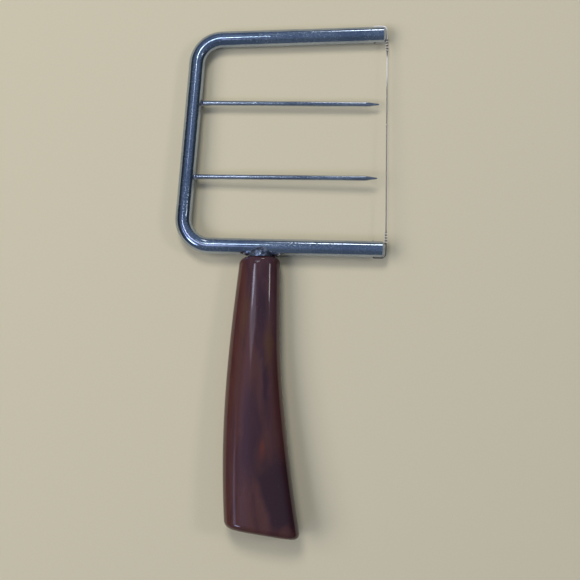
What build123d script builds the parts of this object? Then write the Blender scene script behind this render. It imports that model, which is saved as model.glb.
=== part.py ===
from build123d import *
import os
from math import asin, atan2, cos, degrees, hypot, pi, radians, sin, sqrt, tan

# A wire cheese slicer lying on a table: a bent rod frame with a taut cutting wire, two prongs and a
# flared handle. Millimetres. The tool is drawn flat, with its origin at the centre of the top of
# the handle's neck, +X towards the wire, +Y from the handle to the frame and +Z up, and is laid
# down at the end.

# Frame rod: lengths run along its centreline, between the corners that its bends round off
rod_diameter = 6.35
rod_bend_radius = 10.4
rod_end_chamfer = 0.9
spine_length = 81.0
spine_lean = 5.0
top_arm_length = 73.5
top_arm_rise = 1.8
bottom_arm_length = 79.8
bottom_arm_droop = 1.25

# Handle: its axis runs down -Y, its left side swells out and its right side flares to the butt
handle_length = 107.9
neck_half_width = 7.8
neck_thickness = 10.6
shoulder_depth = 2.9
shoulder_width = 3.7
shoulder_height = 1.9
left_swell = 6.8
left_swell_at = 82.0
right_flare = 7.6
right_flare_from = 34.0
right_flare_power = 1.5
butt_thickness = 16.4
butt_slant = 9.5
butt_round = 3.0
neck_squareness = 2.2
butt_squareness = 3.6
section_points = 20
handle_stations = 32

# Tang, with the domed head that is coped to the bottom arm and the shank inside the handle
tang_place = 31.1
head_gap = 0.64
head_radius = 4.5
tang_diameter = 4.76
tang_depth = 58.0
tang_tip_chamfer = 0.8
groove_count = 4
groove_depth = 0.4
groove_width = 1.6
groove_pitch = 8.0
groove_from_tip = 8.0
cement_thickness = 0.4
cement_below_tang = 1.5

# Lumps of braze along the arm, on both sides of the tang's head
saddle_length = 14.4
saddle_offset = 0.7
saddle_drop = 0.42
saddle_height = 2.5
saddle_width = 5.5
saddle_round = 0.8

# Prongs, placed along the spine from its lower corner and seated in sockets in the rod
prong_diameter = 2.0
socket_depth = 1.4
prong_point_length = 4.6
prong_nib_diameter = 0.5
upper_prong_place = 56.1
upper_prong_length = 69.8
upper_prong_droop = 0.45
lower_prong_place = 27.0
lower_prong_length = 71.4
lower_prong_droop = 0.72
lower_prong_lift = 1.4
prong_braze_reach = 0.65

# Cutting wire: at each arm it passes the rod's end, goes through a hole and is twisted on itself
wire_diameter = 0.45
wire_hole_diameter = 1.2
wire_hole_inset = 4.5
wire_past_end = 0.6
inner_stand_off = 0.33
outer_stand_off = 0.36
mouth_drop = 0.33
end_bend_radius = 1.8
lean_bend_radius = 4.0
twist_radius = 0.45
twist_start = 0.85
twist_length = 3.4
twist_turns = 1.25
twist_ramp = 0.16
twist_merge = 1.5
gap_samples = 400
gap_reach = 2.5

rod_radius = rod_diameter / 2
prong_radius = prong_diameter / 2
tang_radius = tang_diameter / 2
wire_radius = wire_diameter / 2
bore_radius = tang_radius + cement_thickness
bore_depth = tang_depth + cement_below_tang
toward_viewer = Vector(0, 0, 1)


def heading(angle):
    """Unit vector in the tool's plane, turned by an angle from +X towards +Y."""
    return Vector(cos(radians(angle)), sin(radians(angle)), 0)


def left_of(way):
    """Unit vector in the tool's plane, to the left of a way."""
    return toward_viewer.cross(way).normalized()


def lifted(way, angle):
    """A way in the tool's plane, turned by an angle towards the viewer."""
    return way * cos(radians(angle)) + toward_viewer * sin(radians(angle))


def prong_plane(root, way):
    """The plane that a prong's profile is drawn in, from where it leaves the rod."""
    return Plane(origin=root + way * rod_radius, x_dir=way, z_dir=way.cross(left_of(way)))


bottom_way = heading(-bottom_arm_droop)
spine_way = heading(90 - spine_lean)
top_way = heading(top_arm_rise)
bottom_corner = Vector(0, head_gap + rod_radius, 0) - bottom_way * tang_place
top_corner = bottom_corner + spine_way * spine_length
bottom_end = bottom_corner + bottom_way * bottom_arm_length
top_end = top_corner + top_way * top_arm_length
upper_root = bottom_corner + spine_way * upper_prong_place
upper_way = heading(-upper_prong_droop)
lower_root = bottom_corner + spine_way * lower_prong_place
lower_way = lifted(heading(-lower_prong_droop), lower_prong_lift)

# Frame rod, with a hole through each arm for the wire and a blind socket for each prong
with BuildPart() as frame_rod:
    with BuildLine() as rod_line:
        FilletPolyline(bottom_end, bottom_corner, top_corner, top_end, radius=rod_bend_radius)
    with BuildSketch(Plane(origin=bottom_end, z_dir=-bottom_way)):
        Circle(rod_radius)
    sweep()
    chamfer(frame_rod.faces().filter_by(GeomType.PLANE).edges(), rod_end_chamfer)
    for end, way in ((bottom_end, bottom_way), (top_end, top_way)):
        with Locations(Plane(origin=end - way * wire_hole_inset, z_dir=left_of(way))):
            Hole(wire_hole_diameter / 2, depth=rod_diameter)
    for root, way in ((upper_root, upper_way), (lower_root, lower_way)):
        with Locations(Plane(origin=root + way * rod_radius, z_dir=way)):
            Hole(prong_radius, depth=socket_depth)


def turned_prong(root, way, length):
    """One prong: a round rod from the floor of its socket to a blunt point."""
    with BuildPart() as prong:
        with BuildSketch(prong_plane(root, way)):
            with BuildLine():
                Polyline(
                    (-socket_depth, 0),
                    (-socket_depth, prong_radius),
                    (length - prong_point_length, prong_radius),
                    (length, prong_nib_diameter / 2),
                    (length, 0),
                    close=True,
                )
            make_face()
        revolve(axis=Axis(root, way))
    return prong


def turned_braze(root, way):
    """The ring of braze round a prong's root, hollowed outwards and fitted to the rod."""
    outer = prong_radius + prong_braze_reach
    with BuildPart() as ring:
        with BuildSketch(prong_plane(root, way)):
            with BuildLine():
                Line((0, outer), (-rod_radius / 2, outer))
                Line((-rod_radius / 2, outer), (-rod_radius / 2, prong_radius))
                Line((-rod_radius / 2, prong_radius), (prong_braze_reach, prong_radius))
                RadiusArc((prong_braze_reach, prong_radius), (0, outer), prong_braze_reach)
            make_face()
        revolve(axis=Axis(root, way))
        add(frame_rod.part, mode=Mode.SUBTRACT)
    return ring


upper_prong = turned_prong(upper_root, upper_way, upper_prong_length)
lower_prong = turned_prong(lower_root, lower_way, lower_prong_length)
upper_prong_braze = turned_braze(upper_root, upper_way)
lower_prong_braze = turned_braze(lower_root, lower_way)

# Tang: a grooved shank and a domed head, coped so that it wraps the arm's lower half
with BuildPart() as tang:
    with BuildSketch():
        with BuildLine():
            Polyline(
                (0, 0),
                (0, -tang_depth),
                (tang_radius - tang_tip_chamfer, -tang_depth),
                (tang_radius, -tang_depth + tang_tip_chamfer),
                (tang_radius, 0),
                close=True,
            )
        make_face()
        for groove in range(groove_count):
            with Locations((tang_radius, -tang_depth + groove_from_tip + groove * groove_pitch)):
                Rectangle(2 * groove_depth, groove_width, mode=Mode.SUBTRACT)
    revolve(axis=Axis.Y)
    with BuildSketch():
        with BuildLine():
            Line((0, 0), (head_radius, 0))
            RadiusArc((head_radius, 0), (0, head_radius), -head_radius)
            Line((0, head_radius), (0, 0))
        make_face()
    revolve(axis=Axis.Y)
    add(frame_rod.part, mode=Mode.SUBTRACT)

# Braze: a rough saddle under the arm, which the tang's head parts into two lumps
with BuildPart() as saddle:
    with BuildSketch(Plane.XY.offset(-saddle_width / 2)):
        with Locations((saddle_offset, head_gap - saddle_drop + saddle_height / 2)):
            SlotOverall(saddle_length, saddle_height, rotation=-bottom_arm_droop)
    extrude(amount=saddle_width)
    fillet(saddle.faces().filter_by(Plane.XY).edges(), saddle_round)
    add(tang.part, mode=Mode.SUBTRACT)
    add(frame_rod.part, mode=Mode.SUBTRACT)
with BuildPart() as left_tang_braze:
    add(saddle.solids().sort_by(Axis.X)[0])
with BuildPart() as right_tang_braze:
    add(saddle.solids().sort_by(Axis.X)[-1])


def left_side(down):
    """How far the handle's left side lies from its axis, at a distance below the neck's top."""
    return neck_half_width + left_swell * sin(pi / 2 * down / left_swell_at)


def right_side(down):
    """The same for its right side, straight along the neck and then flaring."""
    share = max(0, down - right_flare_from) / (handle_length - right_flare_from)
    return neck_half_width + right_flare * share**right_flare_power


def half_thickness(down):
    """Half the handle's thickness, at a distance below the neck's top."""
    return (neck_thickness + (butt_thickness - neck_thickness) * down / handle_length) / 2


def rounded_off(to_end, depth):
    """The share that a quarter round of a given depth takes off, at a distance from its end."""
    return 1 - sqrt(1 - max(0, 1 - to_end / depth) ** 2)


def slant_at(down):
    """The slant of the handle's section in degrees: none at the neck, the butt's own at the butt."""
    return butt_slant * down / handle_length


def section_outline(down):
    """The handle's section there, between an ellipse and a rectangle, drawn in at both ends."""
    slant = radians(slant_at(down))
    left = left_side(down - left_side(down) * sin(slant)) / cos(slant)
    right = right_side(down + right_side(down) * sin(slant)) / cos(slant)
    shoulder = rounded_off(down, shoulder_depth)
    lip = butt_round * rounded_off(handle_length - down, butt_round)
    half_width = (left + right) / 2 - shoulder_width * shoulder - lip
    half_height = half_thickness(down) - shoulder_height * shoulder - lip
    squareness = neck_squareness + (butt_squareness - neck_squareness) * (down / handle_length) ** 2
    points = []
    for step in range(section_points):
        turn = 2 * pi * step / section_points
        across = abs(cos(turn)) ** (2 / squareness) * (1 if cos(turn) > 0 else -1)
        up = abs(sin(turn)) ** (2 / squareness) * (1 if sin(turn) > 0 else -1)
        points.append(((right - left) / 2 + half_width * across, half_height * up))
    return points


# Handle: lofted through sections that turn bit by bit to the butt's slant and lie closest together
# at its rounded ends, and bored for the tang
with BuildPart() as handle:
    for station in range(handle_stations + 1):
        down = handle_length * (1 - cos(pi * station / handle_stations)) / 2
        slant = slant_at(down)
        section = Plane(origin=(0, -down, 0), x_dir=heading(-slant), z_dir=heading(-90 - slant))
        with BuildSketch(section):
            with BuildLine():
                Spline(*section_outline(down), periodic=True)
            make_face()
    loft()
    with Locations(Plane(origin=(0, 0, 0), z_dir=(0, 1, 0))):
        Hole(bore_radius, depth=bore_depth)

# Cement: fills the handle's bore round the tang
with BuildPart() as tang_cement:
    with BuildSketch(Plane(origin=(0, -bore_depth, 0), z_dir=(0, 1, 0))):
        Circle(bore_radius)
    extrude(amount=bore_depth)
    add(tang.part, mode=Mode.SUBTRACT)


def arc_to(start, way, end):
    """The arc that leaves start along way and reaches end."""
    chord = end - start
    bulge = way - chord * (way.dot(chord) / chord.dot(chord))
    rise = chord.length / 2 * tan(radians(way.get_angle(chord)) / 2)
    return ThreePointArc(start, (start + end) / 2 + bulge.normalized() * rise, end)


def two_arcs(start, start_way, end, end_way):
    """Two arcs that join smoothly: they leave start along start_way and reach end along end_way."""
    chord = end - start
    spread = 2 * (1 - start_way.dot(end_way))
    slope = chord.dot(start_way + end_way)
    if spread > 1e-9:
        reach = (sqrt(slope * slope + spread * chord.dot(chord)) - slope) / spread
    else:
        reach = chord.dot(chord) / (2 * slope)
    first_knee = start + start_way * reach
    last_knee = end - end_way * reach
    arc_to(start, start_way, (first_knee + last_knee) / 2)
    arc_to((first_knee + last_knee) / 2, (last_knee - first_knee).normalized(), end)


def ramped(share):
    """A share of the twist's turns that starts and ends slowly."""
    if share < twist_ramp:
        return share**2 / (2 * twist_ramp * (1 - twist_ramp))
    if share > 1 - twist_ramp:
        return 1 - ramped(1 - share)
    return (share - twist_ramp / 2) / (1 - twist_ramp)


def strand_point(base, up, side, phase, share):
    """Where a strand of the twist is, at a share of the way up from its base."""
    turn = radians(phase) + 2 * pi * twist_turns * ramped(share)
    round_about = toward_viewer * cos(turn) + side * sin(turn)
    return base + up * (twist_length * share) + round_about * twist_radius


def strand_way(base, up, side, phase, share):
    """The way that a strand of the twist runs there."""
    step = 1e-4
    low, high = max(0, share - step), min(1, share + step)
    ahead = strand_point(base, up, side, phase, high) - strand_point(base, up, side, phase, low)
    return ahead.normalized()


def draw_strand(base, up, side, phase, climbs):
    """A strand of the twist as arcs, eight to the turn, drawn upwards or downwards."""
    steps = round(4 * twist_turns) + 1
    shares = [step / steps for step in range(steps + 1)]
    sign = 1 if climbs else -1
    if not climbs:
        shares.reverse()
    for here, there in zip(shares, shares[1:]):
        two_arcs(
            strand_point(base, up, side, phase, here),
            strand_way(base, up, side, phase, here) * sign,
            strand_point(base, up, side, phase, there),
            strand_way(base, up, side, phase, there) * sign,
        )


def loop_corners(end, way, up):
    """The corners of the wire's route round one arm, from the tail's twist back to the span's."""
    inward = left_of(way) if left_of(way).dot(up) > 0 else -left_of(way)
    foot = end + way * wire_past_end
    hole = end - way * wire_hole_inset
    base = foot + up * (rod_radius + inner_stand_off + twist_start)
    return [
        base - toward_viewer * twist_radius,
        base - up * twist_start - toward_viewer * twist_radius,
        hole + inward * (rod_radius + inner_stand_off),
        hole - inward * (rod_radius + outer_stand_off),
        foot - up * (rod_radius + outer_stand_off),
        foot + toward_viewer * twist_radius,
        base + toward_viewer * twist_radius,
    ]


# The bend radius at each of those corners but the first and the last
inner_bend = inner_stand_off + mouth_drop
outer_bend = outer_stand_off + mouth_drop
loop_radii = [inner_bend, inner_bend, outer_bend, end_bend_radius, lean_bend_radius]

# Cutting wire: one unbroken tube, from the tail of its lower twist to the tail of its upper one
low_foot = bottom_end + bottom_way * wire_past_end
high_foot = top_end + top_way * wire_past_end
span_way = (high_foot - low_foot).normalized()
twist_base = rod_radius + inner_stand_off + twist_start
low_base = low_foot + span_way * twist_base
high_base = high_foot - span_way * twist_base
low_merge = low_base + span_way * (twist_length + twist_merge)
high_merge = high_base - span_way * (twist_length + twist_merge)
with BuildPart() as cutting_wire:
    with BuildLine() as wire_line:
        draw_strand(low_base, span_way, bottom_way, 180, climbs=False)
        FilletPolyline(*loop_corners(bottom_end, bottom_way, span_way), radius=loop_radii)
        draw_strand(low_base, span_way, bottom_way, 0, climbs=True)
        two_arcs(strand_point(low_base, span_way, bottom_way, 0, 1), span_way, low_merge, span_way)
        Line(low_merge, high_merge)
        two_arcs(high_merge, span_way, strand_point(high_base, -span_way, top_way, 0, 1), span_way)
        draw_strand(high_base, -span_way, top_way, 0, climbs=False)
        FilletPolyline(
            *reversed(loop_corners(top_end, top_way, -span_way)),
            radius=loop_radii[::-1],
        )
        draw_strand(high_base, -span_way, top_way, 180, climbs=True)
    wire_path = wire_line.wire()
    with BuildSketch(Plane(origin=wire_path @ 0, z_dir=wire_path % 0)):
        Circle(wire_radius)
    sweep(path=wire_path)


def least_self_gap(path, samples, reach):
    """The least clear distance between stretches of a tube more than reach apart along it."""
    points = [path @ (share / samples) for share in range(samples + 1)]
    apart = int(reach / path.length * samples) + 1
    least = min(
        (points[first] - points[last]).length
        for first in range(samples + 1)
        for last in range(first + apart, samples + 1)
    )
    return least - wire_diameter


self_gap = least_self_gap(wire_path, gap_samples, gap_reach)
print(f"cutting wire: {wire_path.length:.1f} mm long, least gap between its own turns {self_gap:.2f} mm")
print(f"cutting wire: volume {cutting_wire.part.volume:.3f}, section times length "
      f"{pi * wire_radius**2 * wire_path.length:.3f}")

# Laid down: the top arm lies on the table along its length, and the butt's rounded edge touches it
# too. The tool turns about the arm's axis by the slope between the two contacts.
butt_contact = Vector(0, -(handle_length - butt_round), 0)
arm_reach = abs(left_of(top_way).dot(top_corner - butt_contact))
butt_rise = half_thickness(handle_length - butt_round)
tilt = degrees(atan2(butt_rise, arm_reach) - asin(rod_radius / hypot(arm_reach, butt_rise)))
pieces = (
    frame_rod,
    upper_prong,
    lower_prong,
    upper_prong_braze,
    lower_prong_braze,
    cutting_wire,
    tang,
    left_tang_braze,
    right_tang_braze,
    tang_cement,
    handle,
)
top_arm_axis = Axis(top_corner, top_way)
for piece in pieces:
    piece.part = piece.part.rotate(top_arm_axis, -tilt)
tool_box = handle.part.bounding_box()
for piece in pieces:
    tool_box = tool_box.add(piece.part.bounding_box())
middle = tool_box.center()
for piece in pieces:
    piece.part = piece.part.translate((-middle.X, -middle.Y, -tool_box.min.Z))
print(f"laid down: tilt {tilt:.3f} degrees, the arm {-rod_radius - tool_box.min.Z:.3f} mm up")

frame_rod.part.label = "frame_rod"
upper_prong.part.label = "upper_prong"
lower_prong.part.label = "lower_prong"
upper_prong_braze.part.label = "upper_prong_braze"
lower_prong_braze.part.label = "lower_prong_braze"
cutting_wire.part.label = "cutting_wire"
tang.part.label = "tang"
left_tang_braze.part.label = "left_tang_braze"
right_tang_braze.part.label = "right_tang_braze"
tang_cement.part.label = "tang_cement"
handle.part.label = "handle"

os.makedirs("parts", exist_ok=True)
export_step(frame_rod.part, "parts/frame_rod.step")
export_step(upper_prong.part, "parts/upper_prong.step")
export_step(lower_prong.part, "parts/lower_prong.step")
export_step(upper_prong_braze.part, "parts/upper_prong_braze.step")
export_step(lower_prong_braze.part, "parts/lower_prong_braze.step")
export_step(cutting_wire.part, "parts/cutting_wire.step")
export_step(tang.part, "parts/tang.step")
export_step(left_tang_braze.part, "parts/left_tang_braze.step")
export_step(right_tang_braze.part, "parts/right_tang_braze.step")
export_step(tang_cement.part, "parts/tang_cement.step")
export_step(handle.part, "parts/handle.step")
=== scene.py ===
from math import cos, degrees, pi, radians, sin, sqrt, tan

import bmesh
import bpy
from mathutils import Matrix, Vector, noise


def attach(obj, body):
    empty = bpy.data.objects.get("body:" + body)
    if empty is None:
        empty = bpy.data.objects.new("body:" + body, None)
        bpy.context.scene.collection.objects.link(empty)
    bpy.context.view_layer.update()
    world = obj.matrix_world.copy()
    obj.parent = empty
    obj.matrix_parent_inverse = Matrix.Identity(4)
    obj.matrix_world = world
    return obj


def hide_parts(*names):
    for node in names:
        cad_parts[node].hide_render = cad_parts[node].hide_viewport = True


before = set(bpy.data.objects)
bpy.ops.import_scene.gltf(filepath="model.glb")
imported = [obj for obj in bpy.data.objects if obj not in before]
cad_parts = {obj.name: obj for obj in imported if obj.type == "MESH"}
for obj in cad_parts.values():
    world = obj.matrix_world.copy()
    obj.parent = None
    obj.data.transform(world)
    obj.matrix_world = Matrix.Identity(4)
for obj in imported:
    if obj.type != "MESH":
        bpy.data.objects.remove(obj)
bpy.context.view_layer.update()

# The tool's sizes in millimetres and degrees, as the part's source gives them. It is drawn flat from the
# centre of the top of the handle's neck, with X towards the wire, Y from the handle to the frame and Z up.
rod_diameter = 6.35
spine_length = 81.0
spine_lean = 5.0
top_arm_length = 73.5
top_arm_rise = 1.8
bottom_arm_length = 79.8
bottom_arm_droop = 1.25
tang_place = 31.1
head_gap = 0.64
head_radius = 4.5

handle_length = 107.9
neck_half_width = 7.8
neck_thickness = 10.6
shoulder_depth = 2.9
shoulder_width = 3.7
shoulder_height = 1.9
left_swell = 6.8
left_swell_at = 82.0
right_flare = 7.6
right_flare_from = 34.0
right_flare_power = 1.5
butt_thickness = 16.4
butt_slant = 9.5
butt_round = 3.0
neck_squareness = 2.2
butt_squareness = 3.6

wire_diameter = 0.45
wire_hole_inset = 4.5
wire_past_end = 0.6

# How the tool lies on the table: where its neck's top comes, and how far it leans about the top arm
neck_top = Vector((-8.6593, 9.4342, 5.462))
tilt = 1.4845

mm = 0.001
rod_radius = rod_diameter / 2
toward_viewer = Vector((0, 0, 1))
scene = bpy.context.scene


def heading(angle):
    """Unit vector in the tool's plane, turned by an angle from +X towards +Y."""
    return Vector((cos(radians(angle)), sin(radians(angle)), 0))


bottom_way = heading(-bottom_arm_droop)
spine_way = heading(90 - spine_lean)
top_way = heading(top_arm_rise)
lying_down = Matrix.Rotation(radians(-tilt), 3, top_way)
over_head = Vector((0, head_gap + rod_radius, 0))
bottom_corner = over_head - bottom_way * tang_place
top_corner = bottom_corner + spine_way * spine_length
bottom_end = bottom_corner + bottom_way * bottom_arm_length
top_end = top_corner + top_way * top_arm_length
low_foot = bottom_end + bottom_way * wire_past_end
high_foot = top_end + top_way * wire_past_end
span_way = (high_foot - low_foot).normalized()


def laid(point):
    """A point of the flat drawing as it lies on the table, in metres."""
    return (neck_top + lying_down @ Vector(point)) * mm


# The wire's twist in mm, tighter than the plain solid's: from and to these distances from the arm's axis,
# with a full turn in one pitch and each strand off the middle by the offset
twist_from = 2.3
twist_to = 6.7
twist_pitch = 2.2
strand_offset = 0.4

# Camera: straight above the photograph's centre, near enough to show some perspective
picture_width = 580
pixel_at_frame = 0.3934
neck_top_column = 260.3
neck_top_row = 256.5
camera_height = 470.0
frame_height = 4.0
sensor_width = 36

camera = bpy.data.cameras.new("camera")
camera.sensor_fit = "HORIZONTAL"
camera.sensor_width = sensor_width
camera.lens = sensor_width * (camera_height - frame_height) / (picture_width * pixel_at_frame)
camera_place = bpy.data.objects.new("camera", camera)
scene.collection.objects.link(camera_place)
right_of_neck = (picture_width / 2 - neck_top_column) * pixel_at_frame
above_neck = (neck_top_row - picture_width / 2) * pixel_at_frame
camera_place.location = Vector((neck_top.x + right_of_neck, neck_top.y + above_neck, camera_height)) * mm
scene.camera = camera_place


class Tone:
    """A value that varies over a surface. Working with it adds Math nodes."""

    def __init__(self, finish, socket):
        self.finish = finish
        self.socket = socket

    def __add__(self, other):
        return self.finish.sum("ADD", self, other)

    def __radd__(self, other):
        return self.finish.sum("ADD", other, self)

    def __sub__(self, other):
        return self.finish.sum("SUBTRACT", self, other)

    def __rsub__(self, other):
        return self.finish.sum("SUBTRACT", other, self)

    def __mul__(self, other):
        return self.finish.sum("MULTIPLY", self, other)

    def __rmul__(self, other):
        return self.finish.sum("MULTIPLY", other, self)


class Mixture:
    """The nodes that vary a finish over a surface, or the room's light over its walls."""

    def __init__(self, owner, shader, place):
        self.owner = owner
        self.owner.use_nodes = True
        self.nodes = owner.node_tree.nodes
        self.links = owner.node_tree.links
        self.shader = self.nodes[shader]
        self.place = self.node("ShaderNodeTexCoord", {}, {}, place)

    def node(self, kind, settings, inputs, output=0):
        """Adds a node, with its settings and what its sockets hold, and gives one output of it."""
        node = self.nodes.new(kind)
        for name, setting in settings.items():
            setattr(node, name, setting)
        for name, value in inputs.items():
            self.feed(node.inputs[name], value)
        return Tone(self, node.outputs[output])

    def feed(self, socket, value):
        """Links a socket to a tone, or sets its value."""
        if isinstance(value, Tone):
            self.links.new(value.socket, socket)
        elif socket.type == "RGBA" and len(value) == 3:
            socket.default_value = (*value, 1)
        else:
            socket.default_value = value

    def sum(self, operation, first, second):
        """A Math node on two values."""
        return self.node("ShaderNodeMath", {"operation": operation}, {0: first, 1: second})

    def vectors(self, operation, first, second):
        """A Vector Math node on two vectors."""
        return self.node("ShaderNodeVectorMath", {"operation": operation}, {0: first, 1: second})

    def along(self, place, way):
        """How far a place lies along a way."""
        return self.node("ShaderNodeVectorMath", {"operation": "DOT_PRODUCT"}, {0: place, 1: way}, "Value")

    def between(self, value, low, high):
        """How far a value has come from low to high, smoothly and within 0 to 1."""
        settings = {"interpolation_type": "SMOOTHSTEP"}
        inputs = {"Value": value, "From Min": low, "From Max": high, "To Min": 0, "To Max": 1}
        return self.node("ShaderNodeMapRange", settings, inputs)

    def blend(self, share, first, second):
        """A colour between two, by a share."""
        return self.node("ShaderNodeMix", {"data_type": "RGBA"}, {0: share, 6: first, 7: second}, 2)

    def stretched(self, place, size):
        """The place, stretched along each axis by that much."""
        return self.node("ShaderNodeMapping", {}, {"Vector": place, "Scale": size})

    def cloud(self, place, per_metre, detail, roughness=0.5):
        """Soft noise from 0 to 1, with that many patches to the metre."""
        inputs = {"Vector": place, "Scale": per_metre, "Detail": detail, "Roughness": roughness}
        return self.node("ShaderNodeTexNoise", {}, inputs)

    def cells(self, place, per_metre):
        """The distance from the nearest of scattered points."""
        return self.node("ShaderNodeTexVoronoi", {}, {"Vector": place, "Scale": per_metre})

    def relief(self, height, depth, strength):
        """A surface normal for a height, with that many mm to a height of 1."""
        inputs = {"Height": height, "Distance": depth * mm, "Strength": strength}
        return self.node("ShaderNodeBump", {}, inputs)

    def wear(self, **sockets):
        """Sets or links the shader's sockets, named with underscores for spaces."""
        for name, value in sockets.items():
            self.feed(self.shader.inputs[name.replace("_", " ")], value)
        return self.owner


def finish(name):
    """A new material of one Principled shader, with its mixture of nodes."""
    return Mixture(bpy.data.materials.new(name), "Principled BSDF", "Object")


def old_chrome(name, dark, light, gloss, pitting):
    """Worn chrome plate: cloudy, lightly scratched, and pitted as much as asked."""
    plate = finish(name)
    clouds = plate.cloud(plate.place, 55, 3)
    ripple = plate.cloud(plate.place, 700, 1)
    speckle = plate.cloud(plate.place, 1500, 2, 0.6)
    scratches = plate.cloud(plate.stretched(plate.place, (1, 0.06, 1)), 2600, 1)
    pits = 1 - plate.between(plate.cells(plate.place, 700), 0.05, 0.22)
    dappled = 0.45 + 1.1 * plate.between(speckle, 0.38, 0.62)
    worn = plate.between(clouds + 0.35 * speckle, 0.45, 0.85) * dappled
    body = plate.blend(worn, dark, light)
    tarnish = plate.between(speckle, 0.56, 0.75) * pitting
    colour = plate.blend(tarnish, body, (0.19, 0.19, 0.21))
    height = speckle * 0.6 + ripple * 0.9 + scratches * 0.25 - pits * (0.6 * pitting)
    return plate.wear(
        Base_Color=colour,
        Metallic=1,
        Roughness=gloss + 0.06 * worn + 0.25 * tarnish,
        Normal=plate.relief(height, 0.02, 0.7),
    )


# These blue-grey tones are darker and bluer than bright chrome: partly the worn plate, and partly a
# painted reflection of a dim blue-grey room
rod_chrome = old_chrome("rod_chrome", (0.28, 0.345, 0.465), (0.455, 0.52, 0.62), 0.06, 0.8)
prong_chrome = old_chrome("prong_chrome", (0.34, 0.375, 0.455), (0.60, 0.65, 0.71), 0.08, 0.4)
tang_chrome = old_chrome("tang_chrome", (0.18, 0.21, 0.285), (0.51, 0.55, 0.63), 0.24, 1.0)


def rough_braze():
    """Lumps of braze under worn plate: dark in the hollows, bright on the crests."""
    lump = finish("rough_braze")
    grain = lump.cloud(lump.place, 1100, 3, 0.6)
    crust = lump.cloud(lump.place, 420, 2)
    crest = lump.between(grain + 0.5 * crust, 0.68, 0.95)
    body = lump.blend(lump.between(crust, 0.4, 0.6), (0.12, 0.135, 0.185), (0.33, 0.39, 0.52))
    return lump.wear(
        Base_Color=lump.blend(crest, body, (0.62, 0.66, 0.74)),
        Metallic=0.95,
        Roughness=0.34 - 0.2 * crest,
        Normal=lump.relief(grain + 0.6 * crust, 0.1, 0.8),
    )


# Along the wire, in mm: where the darkening towards each end and the undarkened upper leg start and are
# full, from the axis of their arm; how far the twist's finish runs past it at either end; and the painted
# highlight towards the top, from the wire's middle
low_darkening = (9.0, 6.5)
high_darkening = (9.6, 7.0)
undarkened_leg = (2.4, 1.6)
before_twist = 0.3
past_twist = 0.5
painted_highlight_span = (20, 27)


def drawn_steel():
    """Thin drawn wire: brown here and there, darker towards its ends and darkest in its twists, with
    painted light between the twists' crossings and a painted highlight towards the top.
    """
    wire = finish("drawn_steel")
    streaks = wire.cloud(wire.stretched(wire.place, (1, 0.2, 1)), 1800, 2)
    bloom = wire.between(wire.cloud(wire.place, 120, 2), 0.5, 0.75)
    middle = laid(low_foot.lerp(high_foot, 0.5)).dot(span_way)
    from_middle = wire.along(wire.place, span_way) - middle
    half_span = (high_foot - low_foot).length / 2 * mm

    def near_arm(toward_arm, distances):
        """A share that grows towards an arm: none at the first distance from it, all at the second."""
        starts, full = distances
        return wire.between(toward_arm, half_span - starts * mm, half_span - full * mm)

    low_end = near_arm(-1 * from_middle, low_darkening)
    high_end = near_arm(from_middle, high_darkening)
    high_leg = near_arm(from_middle, undarkened_leg)
    over_arm = half_span - wire.node("ShaderNodeMath", {"operation": "ABSOLUTE"}, {0: from_middle})
    crossings_turned = (over_arm - twist_from * mm) * (4 * pi / (twist_pitch * mm))
    swing = wire.node("ShaderNodeMath", {"operation": "COSINE"}, {0: crossings_turned})
    over_foot = wire.between(over_arm, (twist_from - before_twist) * mm, twist_from * mm)
    over_twist = wire.between(over_arm, twist_to * mm, (twist_to + past_twist) * mm)
    in_twist = over_foot * (1 - over_twist)
    # Painted light between the twist's crossings: pale and less metallic there, leaving the crossings dark
    painted_light_between_crossings = in_twist * (1 - wire.between(swing, -0.2, 0.7))
    # Darker towards both ends, except on the upper leg next to its arm and where the painted light between
    # the twist's crossings lies
    darkened = (low_end + high_end * (1 - high_leg)) * (1 - painted_light_between_crossings)
    # Painted highlight: the wire turns pale and less metallic towards the top
    painted_highlight_share = wire.between(from_middle, painted_highlight_span[0] * mm, painted_highlight_span[1] * mm) * (1 - darkened)
    colour = wire.blend(bloom, (0.42, 0.39, 0.37), (0.22, 0.16, 0.13))
    colour = wire.blend(streaks, colour, (0.5, 0.48, 0.46))
    # The painted highlight towards the top, then the painted light between the twist's crossings
    colour = wire.blend(painted_highlight_share, colour, (0.85, 0.82, 0.78))
    colour = wire.blend(painted_light_between_crossings, colour, (0.72, 0.69, 0.64))
    return wire.wear(
        Base_Color=wire.blend(darkened * (0.7 + 0.25 * in_twist), colour, (0.11, 0.08, 0.09)),
        Metallic=0.75 - 0.45 * painted_highlight_share - 0.55 * painted_light_between_crossings * low_end,
        Roughness=0.26 + 0.2 * bloom,
        Normal=wire.relief(streaks, 0.01, 0.5),
    )


def set_cement():
    """Grey-brown setting cement, gritty."""
    cement = finish("set_cement")
    grit = cement.cloud(cement.place, 1600, 3)
    return cement.wear(
        Base_Color=cement.blend(grit, (0.30, 0.26, 0.20), (0.46, 0.41, 0.33)),
        Roughness=0.8 + 0.1 * grit,
        Normal=cement.relief(grit, 0.05, 0.6),
    )


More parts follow.
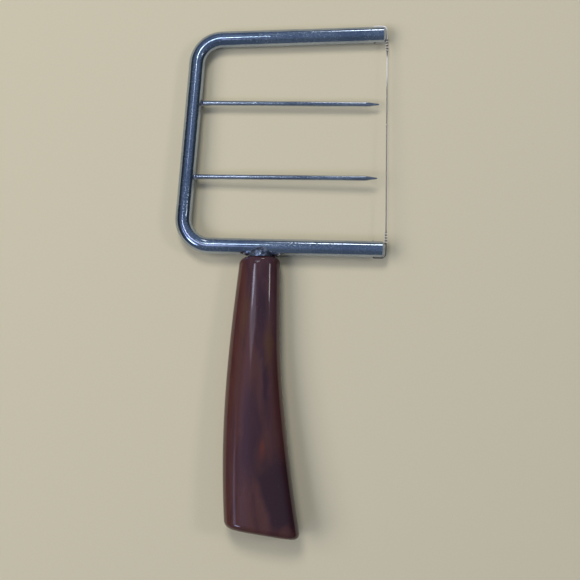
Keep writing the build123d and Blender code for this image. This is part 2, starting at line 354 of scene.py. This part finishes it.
def marbled_resin():
    """Polished cast resin: long bands of red-brown and purple down the handle, with pools and wisps."""
    resin = finish("marbled_resin")
    flow = resin.node("ShaderNodeTexNoise", {}, {"Vector": resin.place, "Scale": 60, "Detail": 2}, "Color")
    swirl = resin.vectors("SUBTRACT", flow, (0.5, 0.5, 0.5))
    run = resin.vectors("ADD", resin.place, resin.vectors("MULTIPLY", swirl, (0.005, 0.012, 0.005)))
    bands = resin.cloud(resin.stretched(run, (1, 0.09, 1)), 330, 3, 0.55)
    fine_bands = resin.cloud(resin.stretched(run, (1, 0.12, 1)), 800, 2, 0.6)
    broad = resin.cloud(resin.stretched(run, (1, 0.2, 1)), 120, 2)

    def patch(right, down, width, height, edge=0.5):
        """A soft patch round a point of the handle, in mm from the neck's top, ragged at its edges."""
        away = resin.vectors("SUBTRACT", run, laid((right, -down, 0)))
        scaled = resin.vectors("MULTIPLY", away, (1 / (width * mm), 1 / (height * mm), 0))
        far = resin.node("ShaderNodeVectorMath", {"operation": "LENGTH"}, {0: scaled}, "Value")
        return 1 - resin.between(far + 0.8 * (bands - 0.5), 1 - edge, 1 + edge)

    def beyond(right, down, turn, fade):
        """From 0 to 1 across a line through a point of the handle, the way that a heading points."""
        across_line = heading(turn)
        start = laid((right, -down, 0)).dot(across_line)
        return resin.between(resin.along(run, across_line), start - fade * mm, start + fade * mm)

    purple = (0.041, 0.0135, 0.018)
    plum = (0.056, 0.0225, 0.027)
    red_brown = (0.066, 0.0225, 0.018)
    brown = (0.074, 0.030, 0.010)
    violet = (0.026, 0.0085, 0.015)
    dark_red = (0.053, 0.015, 0.013)
    dark = (0.022, 0.0065, 0.0105)
    ember = (0.15, 0.028, 0.010)
    colour = resin.blend(resin.between(bands, 0.36, 0.64), purple, plum)
    left_band = 1 - beyond(-4.2, 20, 8, 1.6)
    upper = 1 - beyond(0, 50, -90, 14)
    colour = resin.blend(left_band * (0.35 + 0.65 * resin.between(broad, 0.35, 0.6)), colour, red_brown)
    colour = resin.blend(left_band * upper * 0.8, colour, red_brown)
    colour = resin.blend(resin.between(fine_bands, 0.5, 0.72) * 0.3, colour, brown)
    colour = resin.blend(resin.between(broad + 0.3 * fine_bands, 0.66, 0.84) * 0.5, colour, violet)
    colour = resin.blend(patch(-5.4, 23.0, 1.5, 7.0) * 0.45, colour, brown)
    colour = resin.blend(patch(3.3, 35.0, 1.7, 10.0) * 0.7, colour, brown)
    colour = resin.blend(patch(0.2, 18.0, 1.5, 9.0) * 0.6, colour, violet)
    colour = resin.blend(patch(2.4, 50.0, 1.0, 6.0) * 0.7, colour, dark)
    colour = resin.blend(patch(-3.2, 66.0, 4.0, 15.0) * 0.7, colour, violet)
    colour = resin.blend(beyond(2.6, 40, 3, 1.6) * beyond(0, 40, -90, 8) * 0.65, colour, dark_red)
    colour = resin.blend(beyond(7.0, 20, -3, 1.2) * 0.5, colour, dark_red)
    wedge = beyond(-0.6, 86, 13, 1.5) * beyond(0, 76, -90, 7) * (1 - beyond(0, 106, -90, 4))
    colour = resin.blend(wedge * 0.9, colour, dark)
    colour = resin.blend(patch(3.6, 73.0, 1.3, 5.0) * 0.4, colour, red_brown)
    colour = resin.blend(patch(-0.2, 78.0, 1.5, 3.4, 0.9) * 0.3, colour, red_brown)
    colour = resin.blend(patch(1.0, 74.9, 0.9, 2.0, 0.95) * 0.36, colour, ember)
    colour = resin.blend(patch(9.8, 106.5, 2.2, 3.0) * 0.6, colour, red_brown)
    scuffs = resin.cloud(resin.stretched(resin.place, (1, 0.1, 1)), 1400, 3)
    handling = resin.between(resin.cloud(resin.place, 110, 3), 0.45, 0.7)
    specks = resin.between(resin.cloud(resin.place, 1300, 1), 0.72, 0.8)
    colour = resin.blend(specks * 0.25, colour, (0.12, 0.08, 0.09))
    return resin.wear(
        Base_Color=colour,
        Roughness=0.05 + 0.05 * handling + 0.04 * scuffs,
        Specular_IOR_Level=0.66,
        Normal=resin.relief(resin.cloud(resin.place, 150, 1) + 0.05 * scuffs, 0.05, 0.3),
    )


braze_finish = rough_braze()
wire_finish = drawn_steel()
cement_finish = set_cement()
resin_finish = marbled_resin()


def made(name, points, faces, material):
    """A smooth-shaded piece of the tool with its faces turned outwards."""
    mesh = bpy.data.meshes.new(name)
    mesh.from_pydata(points, [], faces)
    shape = bmesh.new()
    shape.from_mesh(mesh)
    bmesh.ops.recalc_face_normals(shape, faces=shape.faces)
    for face in shape.faces:
        face.smooth = True
    shape.to_mesh(mesh)
    shape.free()
    mesh.materials.append(material)
    piece = bpy.data.objects.new(name, mesh)
    scene.collection.objects.link(piece)
    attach(piece, "root")
    return piece


def skinned(rings):
    """Points and faces of a skin through rings of points, with a fan over each end."""
    points = [point for ring in rings for point in ring]
    sides = len(rings[0])
    faces = []
    for row in range(len(rings) - 1):
        for side in range(sides):
            after = (side + 1) % sides
            here = row * sides
            faces.append((here + side, here + after, here + sides + after, here + sides + side))
    for first, ring in ((0, rings[0]), ((len(rings) - 1) * sides, rings[-1])):
        points.append(sum(ring, Vector((0, 0, 0))) / sides)
        hub = len(points) - 1
        faces += [(first + side, first + (side + 1) % sides, hub) for side in range(sides)]
    return points, faces


def left_side(down):
    """How far the handle's left side lies from its axis, at a distance below the neck's top."""
    return neck_half_width + left_swell * sin(pi / 2 * down / left_swell_at)


def right_side(down):
    """The same for its right side, straight along the neck and then flaring."""
    share = max(0, down - right_flare_from) / (handle_length - right_flare_from)
    return neck_half_width + right_flare * share**right_flare_power


def rounded_off(to_end, depth):
    """The share that a quarter round of a given depth takes off, at a distance from its end."""
    return 1 - sqrt(1 - max(0, 1 - to_end / depth) ** 2)


def handle_ring(down, sides):
    """The handle's section there, as points on the table."""
    share = down / handle_length
    slant = radians(butt_slant * share)
    left = left_side(down - left_side(down) * sin(slant)) / cos(slant)
    right = right_side(down + right_side(down) * sin(slant)) / cos(slant)
    shoulder = rounded_off(down, shoulder_depth)
    lip = butt_round * rounded_off(handle_length - down, butt_round)
    half_width = (left + right) / 2 - shoulder_width * shoulder - lip
    thickness = neck_thickness + (butt_thickness - neck_thickness) * share
    half_height = thickness / 2 - shoulder_height * shoulder - lip
    power = 2 / (neck_squareness + (butt_squareness - neck_squareness) * share**2)
    ring = []
    for side in range(sides):
        turn = 2 * pi * (side + 0.5) / sides
        out = abs(cos(turn)) ** power * (1 if cos(turn) > 0 else -1)
        up = abs(sin(turn)) ** power * (1 if sin(turn) > 0 else -1)
        width = (right - left) / 2 + half_width * out
        beside_axis = Vector((0, -down, 0)) + heading(-degrees(slant)) * width
        ring.append(laid(beside_axis + toward_viewer * half_height * up))
    return ring


# How much of the butt's drawn length is polished away
butt_polish = 0.2


def cast_handle(stations, sides):
    """The polished handle, as a skin through many sections that crowd towards its rounded ends."""
    skin_length = handle_length - butt_polish
    downs = [skin_length * (1 - cos(pi * station / stations)) / 2 for station in range(stations + 1)]
    points, faces = skinned([handle_ring(down, sides) for down in downs])
    handle = made("cast_handle", points, faces, resin_finish)
    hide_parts("handle")


# The wire round each arm, in mm and degrees: it hugs the rod, with its outer legs lifted from the tool's
# plane and its inner legs dipped under the rod
hug = 0.3
inner_dip = 42
bottom_lift = 0
top_lift = 38
corner_radii = (0.6, 0.4, 0.4, 0.5, 1.9, 3.0)
corner_steps = 8
strand_steps = 90
span_steps = 40
strands_meet = 0.9
least_step = 0.02
wire_sides = 12


def eased(corners):
    """A route through corners, each rounded to its radius."""
    route = [corners[0]]
    for before, here, after, radius in zip(corners, corners[1:], corners[2:], corner_radii):
        back = (before - here).normalized()
        on = (after - here).normalized()
        half = back.angle(on) / 2
        centre = here + (back + on).normalized() * (radius / sin(half))
        first = (here + back * (radius / tan(half)) - centre).normalized()
        last = (here + on * (radius / tan(half)) - centre).normalized()
        for step in range(corner_steps + 1):
            route.append(centre + first.slerp(last, step / corner_steps) * radius)
    route.append(corners[-1])
    return route


def twisted_strand(foot, up, way, phase):
    """Points up one strand of the twist, from its base."""
    strand = []
    for step in range(strand_steps + 1):
        height = twist_from + (twist_to - twist_from) * step / strand_steps
        turn = phase + 2 * pi * (height - twist_from) / twist_pitch
        aside = toward_viewer * cos(turn) + way * sin(turn)
        strand.append(foot + up * height + aside * strand_offset)
    return strand


def against_rod(place, side, lift):
    """A place for the wire against the rod, on one side of it and lifted by an angle."""
    aside = side * cos(radians(lift)) + toward_viewer * sin(radians(lift))
    return place + aside * (rod_radius + hug)


def wire_end(end, way, foot, up, outer_lift):
    """The wire's route round one arm, from the tip of its tail to the top of the twist."""
    inward = Vector((-way.y, way.x, 0))
    if inward.dot(up) < 0:
        inward = -inward
    hole = end - way * wire_hole_inset
    tail = twisted_strand(foot, up, way, pi)
    front = twisted_strand(foot, up, way, 0)
    corners = [
        tail[0],
        against_rod(foot, up, -inner_dip),
        against_rod(hole, inward, -inner_dip),
        against_rod(hole, inward, 0),
        against_rod(hole, -inward, 0),
        against_rod(foot, -up, outer_lift),
        foot + toward_viewer * strand_offset,
        front[0],
    ]
    return tail[::-1] + eased(corners) + front


def tube(route, radius, sides):
    """Rings of points round a route, carried along it without twisting."""
    clear = [route[0]]
    for point in route[1:]:
        if (point - clear[-1]).length > least_step:
            clear.append(point)
    turns = [2 * pi * side / sides for side in range(sides)]
    rings = []
    across = toward_viewer
    for number, point in enumerate(clear):
        before = clear[max(0, number - 1)]
        after = clear[min(len(clear) - 1, number + 1)]
        way = (after - before).normalized()
        across = (across - way * across.dot(way)).normalized()
        beside = way.cross(across)
        spokes = [across * cos(turn) + beside * sin(turn) for turn in turns]
        rings.append([laid(point + spoke * radius) for spoke in spokes])
    return rings


def strung_wire():
    """The cutting wire: one strand from the tail of its lower twist to the tail of its upper one."""
    low = wire_end(bottom_end, bottom_way, low_foot, span_way, bottom_lift)
    high = wire_end(top_end, top_way, high_foot, -span_way, top_lift)
    low_top = low_foot + span_way * (twist_to + strands_meet)
    high_top = high_foot - span_way * (twist_to + strands_meet)
    middle = [low_top.lerp(high_top, step / span_steps) for step in range(span_steps + 1)]
    points, faces = skinned(tube(low + middle + high[::-1], wire_diameter / 2, wire_sides))
    wire = made("strung_wire", points, faces, wire_finish)
    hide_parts("cutting_wire")


# Braze between the tang's head and the arm, laid along the arm's lower side: places along the arm from the
# head, its wrap to either side in degrees, and heights over the rod
saddle_from = -6.6
saddle_to = 8.0
saddle_wrap = 62.0
least_wrap = 0.55
saddle_rise = 0.75
saddle_lumps = 0.32
saddle_rim = -0.05
saddle_sunk = 0.5

# Braze over the tang's head
crust_thickness = 0.3
crust_lumps = 0.15
crust_forward = 0.03

lump_fineness = 0.9
lump_octaves = 3


def lumps_at(point, amount):
    """Lumps of hand-laid braze: noise in mm at a point in mm."""
    return amount * noise.fractal(point * lump_fineness, 1.0, 2.0, lump_octaves)


def braze_saddle(stations, sides):
    """A lumpy saddle round the arm's lower side, thin at its rim and closed inside the rod."""
    below_arm = Vector((bottom_way.y, -bottom_way.x, 0))
    outer = []
    inner = []
    for station in range(stations + 1):
        share = station / stations
        centre = over_head + bottom_way * (saddle_from + (saddle_to - saddle_from) * share)
        fullness = sqrt(1 - abs(2 * share - 1) ** 2.4)
        outer_ring = []
        inner_ring = []
        for side in range(sides + 1):
            lean = 2 * side / sides - 1
            wrap = radians(saddle_wrap * lean * (least_wrap + (1 - least_wrap) * fullness))
            way = below_arm * cos(wrap) + toward_viewer * sin(wrap)
            body = saddle_rise * fullness * (1 - abs(lean) ** 2.5)
            lumps = lumps_at(centre + way * rod_radius, saddle_lumps) * fullness * (1 - lean**4)
            rise = max(0, body + lumps) + saddle_rim
            outer_ring.append(laid(centre + way * (rod_radius + rise)))
            inner_ring.append(laid(centre + way * (rod_radius - saddle_sunk)))
        outer.append(outer_ring)
        inner.append(inner_ring)
    rings = [first + second[::-1] for first, second in zip(outer, inner)]
    points, faces = skinned(rings)
    saddle = made("braze_saddle", points, faces, braze_finish)
    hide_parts("left_tang_braze", "right_tang_braze")


def braze_crust(stations, sides):
    """A crust of braze over the tang's domed head, rough and uneven."""
    rings = []
    for station in range(stations):
        rise = pi / 2 * station / stations
        ring = []
        for side in range(sides):
            turn = 2 * pi * side / sides
            way = Vector((cos(turn) * cos(rise), sin(rise), sin(turn) * cos(rise)))
            out = head_radius + crust_thickness + lumps_at(way * head_radius, crust_lumps)
            ring.append(laid(way * out + Vector((0, crust_forward, 0))))
        rings.append(ring)
    points, faces = skinned(rings)
    made("braze_crust", points, faces, braze_finish)


cast_handle(stations=200, sides=160)
strung_wire()
braze_saddle(stations=90, sides=48)
braze_crust(stations=40, sides=96)

node_finishes = {
    "frame_rod": rod_chrome,
    "upper_prong": prong_chrome,
    "lower_prong": prong_chrome,
    "upper_prong_braze": braze_finish,
    "lower_prong_braze": braze_finish,
    "tang": tang_chrome,
    "tang_cement": cement_finish,
    "handle": resin_finish,
    "cutting_wire": wire_finish,
    "left_tang_braze": braze_finish,
    "right_tang_braze": braze_finish,
}
for node, material in node_finishes.items():
    for material_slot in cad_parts[node].material_slots:
        material_slot.material = material


def table_top(width, cuts):
    """A plain pale table, flat and cut into squares, with its side in metres."""
    points = []
    for row in range(cuts + 1):
        for column in range(cuts + 1):
            points.append(((column / cuts - 0.5) * width, (row / cuts - 0.5) * width, 0))
    faces = []
    for row in range(cuts):
        for column in range(cuts):
            first = row * (cuts + 1) + column
            faces.append((first, first + 1, first + cuts + 2, first + cuts + 1))
    mesh = bpy.data.meshes.new("table_top")
    mesh.from_pydata(points, [], faces)
    cloth = finish("pale_cloth")
    weave = cloth.cloud(cloth.place, 1500, 2)
    mesh.materials.append(cloth.wear(
        Base_Color=cloth.blend(weave, (0.522, 0.472, 0.342), (0.552, 0.501, 0.369)),
        Roughness=0.95,
        Specular_IOR_Level=0.1,
    ))
    table = bpy.data.objects.new("table_top", mesh)
    scene.collection.objects.link(table)


def toward(right, up, distance):
    """A place that far off, leaning from straight overhead by these angles to the right and up."""
    return Vector((tan(radians(right)), tan(radians(up)), 1)).normalized() * distance


def lamp(name, place, width, length, power, colour, turn=90):
    """An area lamp facing the tool, with its length turned from X by an angle. Sizes are in metres."""
    light = bpy.data.lights.new(name, "AREA")
    light.shape = "RECTANGLE"
    light.size = width
    light.size_y = length
    light.energy = power
    light.color = colour
    way = place.normalized()
    lengthwise = heading(turn)
    along_tool = (lengthwise - way * way.dot(lengthwise)).normalized()
    stand = bpy.data.objects.new(name, light)
    stand.location = place
    stand.rotation_euler = Matrix((along_tool.cross(way), along_tool, way)).transposed().to_euler()
    scene.collection.objects.link(stand)
    return stand


def light_room():
    """The lamps that light the tool, and the small ones that only show in its polish."""
    warm_white = (1.0, 0.98, 0.94)
    sky_blue = (0.78, 0.80, 1.0)
    pale_blue = (0.84, 0.95, 1.0)
    lighting = (
        lamp("window", toward(-9, 34.3, 1.5), 0.4, 0.4, 9.5, warm_white),
        lamp("left_wall", toward(-46, 4, 1.4), 0.7, 1.0, 11.6, warm_white),
        lamp("right_wall", toward(45, 8, 1.4), 0.25, 0.25, 2.6, warm_white),
    )
    for stand in lighting:
        stand.visible_glossy = False
    near = 0.35
    glinting = (
        lamp("window_bar", toward(-7.5, 42, 1.5), 0.3, 0.05, 0.05, pale_blue),
        lamp("far_window", toward(12.5, 64, 1.6), 0.2, 0.16, 0.8, warm_white),
        lamp("low_window", Vector((-0.052, 0.19, near)), 0.075, 0.014, 0.04, pale_blue),
        lamp("doorway", Vector((-0.055, 0.14, near)), 0.035, 0.09, 0.012, sky_blue),
        lamp("sky_spot", Vector((-0.093, 0.046, near)), 0.02, 0.046, 0.0155, sky_blue, 141),
        lamp("sky_around", Vector((-0.068, 0.027, near + 0.01)), 0.045, 0.09, 0.014, sky_blue, 143),
        lamp("right_lamp", Vector((0.254, 0.036, near)), 0.03, 0.028, 0.0165, warm_white),
    )
    for stand in glinting:
        stand.visible_diffuse = False


def dim_room():
    """The room round the tool: blue-grey overhead, dark to the sides, with three soft glows."""
    room = Mixture(bpy.data.worlds.new("room"), "Background", "Generated")
    scene.world = room.owner

    def facing(way):
        """How nearly a way into the room is this one, from -1 to 1."""
        return room.along(room.place, way)

    def glow(right, up, wide, tall):
        """A soft patch of light in the room, with its half sizes in degrees."""
        middle = toward(right, up, 1)
        side = Vector((0, 1, 0)).cross(middle).normalized()
        from_side = facing(side) * (1 / sin(radians(wide)))
        from_level = facing(middle.cross(side)) * (1 / sin(radians(tall)))
        above = room.between(facing((0, 0, 1)), 0, 0.1)
        return above * (1 - room.between(from_side * from_side + from_level * from_level, 0, 1))

    overhead = facing(Vector((0.05, 0.45, 0.9)).normalized())
    sideways = facing((1, 0, 0))
    tone = room.blend(room.between(overhead, 0.3, 1.0), (0.115, 0.141, 0.182), (0.176, 0.226, 0.322))
    tone = room.blend(room.between(sideways * sideways, 0.25, 0.95), tone, (0.038, 0.049, 0.06))
    tone = room.blend(glow(-34, -13, 7, 13), tone, (0.76, 0.91, 1.65))
    tone = room.blend(glow(-30, -26, 10, 10), tone, (4.2, 5.2, 8.2))
    tone = room.blend(glow(-13, -1, 14, 10) * 0.8, tone, (0.38, 0.38, 0.65))
    room.wear(Color=tone, Strength=1)


table_top(width=6.0, cuts=12)
light_room()
dim_room()
scene.view_settings.view_transform = "Standard"
